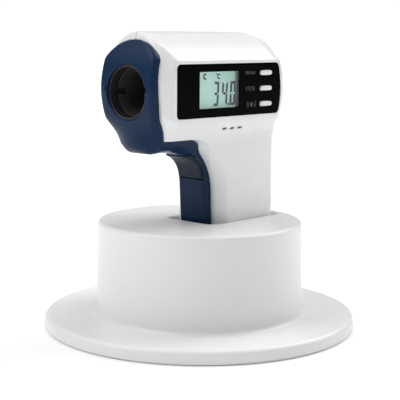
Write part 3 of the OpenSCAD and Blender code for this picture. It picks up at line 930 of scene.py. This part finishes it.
def display_marks():
    """The reading, its unit and a status mark, as dark films on the glass."""
    points, faces = [], []
    x0, x1 = LCD_X + 0.01, LCD_X + 0.09
    for char, y in (("3", -12.0), ("4", -6.2), ("0", -0.75)):
        digit(points, faces, char, y, 104.7, 3.7, 10.8, 1.2, 0.06, x0, x1)
    prism(points, faces, [(-1.95, 104.7), (-1.05, 104.7), (-0.98, 105.7), (-1.88, 105.7)], x0, x1)

    arc_mark(points, faces, (-17.0, 117.9), 1.4, 0.75, 50, 310, 12, x0, x1)
    arc_mark(points, faces, (-7.9, 117.8), 1.25, 0.6, 50, 310, 12, x0, x1)
    arc_mark(points, faces, (-9.6, 118.9), 0.42, 0.25, 0, 360, 12, x0, x1)
    return add_object("display_marks", points, faces, 30)


lcd_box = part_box("lcd_glass")
glass = plate(
    "lcd_cell", lcd_box[0][0] / MM, LCD_X,
    rectangle(lcd_box[0][1] / MM, lcd_box[0][2] / MM, lcd_box[1][1] / MM, lcd_box[1][2] / MM, 0.3),
    0.1,
)
place(glass, "thermometer", ("lcd_glass",), lcd)
marks = display_marks()
place(marks, "thermometer", (), segment_ink)


def panel_icons():
    """Plain pictures beside the keys: a dial, a stack of readings and a bell."""
    points, faces = [], []
    x0, x1 = PANEL_X - 0.01, PANEL_X + 0.03

    def bar(y0, z0, y1, z1):
        prism(points, faces, [(y0, z0), (y1, z0), (y1, z1), (y0, z1)], x0, x1)

    pitch = 1.75
    z = BUTTON_Z[0] + 0.15
    for k in range(4):
        arc_mark(points, faces, (7.7 + pitch * k, z), 0.72, 0.26, 0, 360, 12, x0, x1)
    z = BUTTON_Z[1] + 0.1
    for k in range(4):
        y = 7.2 + pitch * k
        for low in (-0.85, -0.15, 0.55):
            bar(y, z + low, y + 0.95, z + low + 0.3)
    z = BUTTON_Z[2]
    y = 11.2
    bell = [(0.95, -0.6), (0.6, -0.2), (0.55, 0.6), (0.2, 1.0)]
    outline = [(-u, v) for u, v in bell[:1]] + bell + [(-u, v) for u, v in bell[:0:-1]]
    prism(points, faces, [(y + u, z + v) for u, v in outline], x0, x1)
    bar(y - 0.3, z - 1.05, y + 0.3, z - 0.75)
    for side in (0, 180):
        for r, half in ((2.1, 32), (3.1, 28)):
            arc_mark(points, faces, (y, z), r, 0.24, side - half, side + half, 6, x0, x1)
    return add_object("panel_icons", points, faces, 30)


icons = panel_icons()
place(icons, "thermometer", (), panel_print)

# ---------------------------------------------------------------- nose funnel


def lathe_nose(name, corners, angles=None, n=160):
    """A rounded (radius, Y) outline turned about the sensor's axis."""
    outline = outline_points(corners, 0.12)
    if angles is None:
        turns = [2 * math.pi * i / n for i in range(n)]
        closed = True
    else:
        turns = [math.radians(angles[0] + (angles[1] - angles[0]) * i / n) for i in range(n + 1)]
        closed = False
    rings = [
        [(r * math.cos(a), y, SENSOR_Z + r * math.sin(a)) for r, y in outline] for a in turns
    ]
    if closed:
        rings.append(rings[0])
    obj = loft(name, rings, 40, not closed, not closed)
    if closed:
        face_outwards(obj, weld=True)
    return obj


funnel = lathe_nose("nose_funnel", [
    (11.9, -46.9, 0.25), (11.9, -41.8, 0.05), (13.2, -41.8, 0.2), (13.2, -40.4, 0.2),
    (12.4, -40.4, 0.05), (12.4, -37, 0.5), (8.4, -25, 0.5), (8.4, -21, 0.3), (5.2, -21, 0.3),
    (5.2, -25, 0.5), (9.5, -38, 0.2), (10.9, -38, 0.05), (10.9, -42.6, 0.05), (11.1, -46.9, 0.25),
])
place(funnel, "thermometer", ("sensor_funnel",), black_matt)
ring_piece = lathe_nose(
    "nose_ring", [(10.82, -42.4, 0.12), (10.82, -38.05, 0.1), (9.6, -38.05, 0.2), (10.5, -42.4, 0.12)],
    (-172.6, 172.6),
)
place(ring_piece, "thermometer", ("probe_ring",), dark_grey)

# ---------------------------------------------------------------- cradle


def cradle():
    """One shell: rim, flange, drum, slot and the well, and the hollow underneath."""
    n = 288
    turns = [2 * math.pi * (i + 0.5) / n for i in range(n)]

    def circle_loop(r, z):
        return [(r * math.cos(a), r * math.sin(a), z) for a in turns]

    def slot_loop(e, z):
        hx, hy = 15.6 + e, 25.25 + e
        r = 5 + e
        loop = []
        for a in turns:
            c, s = math.cos(a), math.sin(a)
            reach = min(hx / abs(c) if c else 1e9, hy / abs(s) if s else 1e9)
            x, y = c * reach, s * reach
            cx, cy = hx - r, hy - r
            if abs(x) > cx and abs(y) > cy:
                ox, oy = math.copysign(cx, x), math.copysign(cy, y)
                b = c * ox + s * oy
                reach = b + math.sqrt(max(b * b - ox * ox - oy * oy + r * r, 0))
                x, y = c * reach, s * reach
            loop.append((x, y + WELL_MID_Y, z))
        return loop

    def between(a, b, t):
        return [tuple(p + (q - p) * t for p, q in zip(u, v)) for u, v in zip(a, b)]

    def fillet_rows(r, z, radius, a0, a1, count):
        rows = []
        for i in range(count + 1):
            a = math.radians(a0 + (a1 - a0) * i / count)
            rows.append(circle_loop(r + radius * math.cos(a), z + radius * math.sin(a)))
        return rows

    loops = [slot_loop(2, 3.0)]
    loops += [slot_loop(2, 20), slot_loop(2, 36), slot_loop(2, 47.6)]
    inner = circle_loop(45.6, 47.6)
    loops += [between(loops[-1], inner, t) for t in (0.35, 0.7)] + [inner]
    loops += [circle_loop(46.0, 25), circle_loop(46.4, 4.0), circle_loop(69.8, 4.0), circle_loop(69.8, 0.5)]
    loops += [circle_loop(70.0, 0.4)]
    loops += fillet_rows(72.2, 1.2, 0.8, -90, 0, 5)
    loops += fillet_rows(70.8, 4.2, 2.2, 0, 90, 12)
    loops += [circle_loop(r, 6.4) for r in (66, 60, 55, 52)]
    loops += fillet_rows(51.3, 8.9, 2.5, 270, 180, 12)
    for i in range(1, 8):
        t = i / 8
        loops.append(circle_loop(48.8 - 0.8 * t, 8.9 + (48.3 - 8.9) * t))
    loops += fillet_rows(46.3, 48.3, 1.7, 0, 90, 12)
    rim = loops[-1]
    lip = slot_loop(0.9, DRUM_Z)
    loops += [between(rim, lip, t) for t in (0.15, 0.4, 0.65, 0.85)] + [lip]
    for i in range(1, 7):
        a = math.radians(90 * i / 6)
        loops.append(slot_loop(0.9 - 0.9 * math.sin(a), DRUM_Z - 0.9 * (1 - math.cos(a))))
    loops += [slot_loop(0, z) for z in (44, 32, 20, 9.6)]
    for i in range(1, 5):
        a = math.radians(90 * i / 4)
        loops.append(slot_loop(-1.5 * (1 - math.cos(a)), 9.6 - 1.5 * math.sin(a)))
    return loft("cradle_casing", loops, 60)


cradle_piece = cradle()
place(cradle_piece, "cradle", ("cradle_shell",), cradle_plastic)

# ---------------------------------------------------------------- floor, light, camera


def floor():
    """A pale paper floor with a painted glow, weak by the cradle and strong far out, so that it fades into
    the backdrop.
    """
    mesh = bpy.data.meshes.new("floor")
    bm = bmesh.new()
    bmesh.ops.create_circle(bm, cap_ends=True, radius=9.0, segments=96)
    bm.to_mesh(mesh)
    bm.free()
    obj = bpy.data.objects.new("floor", mesh)
    scene.collection.objects.link(obj)
    m = Nodes("floor_paper_glow", Roughness=0.9)
    soft = m.noise(3, 3)
    m.set("Base Color", m.colours(soft, (0.3, (0.90, 0.90, 0.90)), (0.7, (0.92, 0.92, 0.92))))
    m.shader.inputs["Specular IOR Level"].default_value = 0.1
    # Painted light: the floor glows white, from 0.08 within 0.12 m of the cradle's axis up to 0.62 beyond
    # 1.4 m, so the far floor washes out to white while the floor by the cradle stays darker.
    m.shader.inputs["Emission Color"].default_value = (1, 1, 1, 1)
    far = m.node("VectorMath", operation="LENGTH")
    m.link(m.coords, far.inputs[0])
    m.set("Emission Strength", m.span(far.outputs["Value"], 0.08, 0.62, 0.12, 1.4))
    mesh.materials.append(m.material)
    return obj


floor()
world = bpy.data.worlds.new("studio")
scene.world = world
world.use_nodes = True
wt = world.node_tree
back = wt.nodes["Background"]
back.inputs["Color"].default_value = (1, 1, 1, 1)
sky = wt.nodes.new("ShaderNodeTexCoord").outputs["Generated"]
split = wt.nodes.new("ShaderNodeSeparateXYZ")
wt.links.new(sky, split.inputs["Vector"])
above = wt.nodes.new("ShaderNodeMapRange")
for socket, value in (("From Min", 0.1), ("From Max", 0.9), ("To Min", 0.16), ("To Max", 0.70)):
    above.inputs[socket].default_value = value
wt.links.new(split.outputs["Z"], above.inputs["Value"])
wt.links.new(above.outputs["Result"], back.inputs["Strength"])
seen = wt.nodes.new("ShaderNodeBackground")
seen.inputs["Color"].default_value = (1, 1, 1, 1)
seen.inputs["Strength"].default_value = 1.05
path = wt.nodes.new("ShaderNodeLightPath")
mix = wt.nodes.new("ShaderNodeMixShader")
wt.links.new(path.outputs["Is Camera Ray"], mix.inputs["Fac"])
wt.links.new(back.outputs["Background"], mix.inputs[1])
wt.links.new(seen.outputs["Background"], mix.inputs[2])
wt.links.new(mix.outputs["Shader"], wt.nodes["World Output"].inputs["Surface"])

CAMERA_AZ = 43.0         # degrees to the right of straight ahead of the nose
CAMERA_PITCH = 8.50      # degrees down
CAMERA_ROLL = 0.46
CAMERA_AWAY = 0.5269     # metres from the cradle's axis
CAMERA_Z = 0.1378
LENS = 101.7             # millimetres, for a 36 mm sensor


def area_light(name, turn, height, distance, size, power, aim=(0, 0, 0.07)):
    """A softbox turned from the camera's direction, as seen from above, by turn degrees to its right."""
    light = bpy.data.lights.new(name, "AREA")
    light.shape = "RECTANGLE"
    light.size, light.size_y = size
    light.energy = power
    obj = bpy.data.objects.new(name, light)
    scene.collection.objects.link(obj)
    a = math.radians(CAMERA_AZ + turn)
    obj.location = (distance * math.sin(a), -distance * math.cos(a), height)
    way = Vector(aim) - obj.location
    obj.rotation_euler = way.to_track_quat("-Z", "Y").to_euler()
    return obj


area_light("left_box", -75, 1.35, 1.2, (1.0, 1.2), 13)
area_light("right_box", 122, 1.2, 1.15, (0.9, 1.2), 13)
area_light("top_box", 180, 1.9, 0.6, (1.6, 1.6), 6.5)


def camera():
    """A camera at the reference viewing angle."""
    data = bpy.data.cameras.new("camera")
    data.sensor_width = 36.0
    data.lens = LENS
    data.clip_start, data.clip_end = 0.01, 30
    data.dof.use_dof = False
    obj = bpy.data.objects.new("camera", data)
    scene.collection.objects.link(obj)
    az, pitch, roll = (math.radians(v) for v in (CAMERA_AZ, CAMERA_PITCH, CAMERA_ROLL))
    ahead = Vector((-math.sin(az) * math.cos(pitch), math.cos(az) * math.cos(pitch), -math.sin(pitch)))
    level = Vector((math.cos(az), math.sin(az), 0))
    up = level.cross(ahead)
    right = level * math.cos(roll) + up * math.sin(roll)
    up = up * math.cos(roll) - level * math.sin(roll)
    m = Matrix((right, up, -ahead)).transposed().to_4x4()
    m.translation = (CAMERA_AWAY * math.sin(az), -CAMERA_AWAY * math.cos(az), CAMERA_Z)
    obj.matrix_world = m
    scene.camera = obj


camera()
scene.view_settings.view_transform = "Standard"
scene.view_settings.look = "None"
scene.view_settings.exposure = 0
scene.view_settings.gamma = 1
